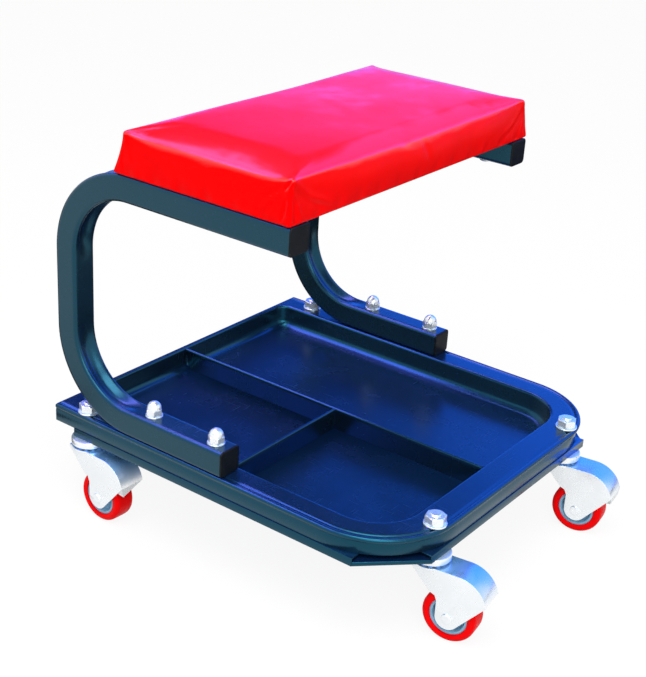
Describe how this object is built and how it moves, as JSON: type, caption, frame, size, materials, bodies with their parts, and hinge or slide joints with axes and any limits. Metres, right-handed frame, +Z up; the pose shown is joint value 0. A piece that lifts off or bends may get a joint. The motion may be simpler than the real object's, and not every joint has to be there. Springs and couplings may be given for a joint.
{
  "type": "creeper seat",
  "caption": "Rolling work seat: padded seat on bent square tube frames over a divided tool tray on swivel casters.",
  "frame": {"origin": "middle of the object's plan, on the floor", "axes": "+Z up, +Y towards the closed rear of the seat frames, +X to the right seen from the front"},
  "size_m": [0.389, 0.4566, 0.404],
  "materials": {
    "paint": "gloss, dark blue",
    "vinyl": "gloss vinyl, red",
    "zinc": "bright zinc plate",
    "tyre": "satin, red",
    "hub": "satin, blue grey",
    "plug": "matte, black",
    "plywood": "raw",
    "foam": "open foam"
  },
  "bodies": {
    "chassis": {"tray": "paint", "long_divider": "paint", "cross_divider": "paint", "left_rail": "paint", "right_rail": "paint", "front_rail": "paint", "rear_rail": "paint", "front_left_plate": "paint", "front_right_plate": "paint", "rear_left_plate": "paint", "rear_right_plate": "paint", "stem_sleeves": "zinc", "foot_sleeves": "zinc", "left_frame": "paint", "right_frame": "paint", "tube_plugs": "plug", "foot_bolts": "zinc", "foot_washers": "zinc", "dome_nuts": "zinc", "caster_stems": "zinc", "stem_washers": "zinc", "stem_nuts": "zinc", "caster_races": "zinc", "seat_board": "plywood", "seat_foam": "foam", "seat_cover": "vinyl", "seat_screws": "zinc", "tee_nuts": "zinc"},
    "fl_caster": {"fl_fork": "zinc", "fl_balls": "zinc", "fl_axle": "zinc", "fl_sleeve": "zinc"},
    "fl_wheel": {"fl_hub": "hub", "fl_tread": "tyre"},
    "fr_caster": {"fr_fork": "zinc", "fr_balls": "zinc", "fr_axle": "zinc", "fr_sleeve": "zinc"},
    "fr_wheel": {"fr_hub": "hub", "fr_tread": "tyre"},
    "rl_caster": {"rl_fork": "zinc", "rl_balls": "zinc", "rl_axle": "zinc", "rl_sleeve": "zinc"},
    "rl_wheel": {"rl_hub": "hub", "rl_tread": "tyre"},
    "rr_caster": {"rr_fork": "zinc", "rr_balls": "zinc", "rr_axle": "zinc", "rr_sleeve": "zinc"},
    "rr_wheel": {"rr_hub": "hub", "rr_tread": "tyre"}
  },
  "joints": [
    {"name": "fl_swivel", "type": "hinge", "parent": "chassis", "child": "fl_caster", "pos_m": [-0.119, -0.16767, 0.08], "axis": [0, 0, 1], "continuous": true},
    {"name": "fl_spin", "type": "hinge", "parent": "fl_caster", "child": "fl_wheel", "pos_m": [-0.11552, -0.19243, 0.0255], "axis": [0.9903, 0.1392, 0], "continuous": true},
    {"name": "fr_swivel", "type": "hinge", "parent": "chassis", "child": "fr_caster", "pos_m": [0.119, -0.16767, 0.08], "axis": [0, 0, 1], "continuous": true},
    {"name": "fr_spin", "type": "hinge", "parent": "fr_caster", "child": "fr_wheel", "pos_m": [0.12248, -0.19243, 0.0255], "axis": [0.9903, 0.1392, 0], "continuous": true},
    {"name": "rl_swivel", "type": "hinge", "parent": "chassis", "child": "rl_caster", "pos_m": [-0.177, 0.19233, 0.08], "axis": [0, 0, 1], "continuous": true},
    {"name": "rl_spin", "type": "hinge", "parent": "rl_caster", "child": "rl_wheel", "pos_m": [-0.17787, 0.16734, 0.0255], "axis": [0.9994, -0.0349, 0], "continuous": true},
    {"name": "rr_swivel", "type": "hinge", "parent": "chassis", "child": "rr_caster", "pos_m": [0.177, 0.19233, 0.08], "axis": [0, 0, 1], "continuous": true},
    {"name": "rr_spin", "type": "hinge", "parent": "rr_caster", "child": "rr_wheel", "pos_m": [0.17787, 0.16734, 0.0255], "axis": [0.9994, 0.0349, 0], "continuous": true}
  ]
}
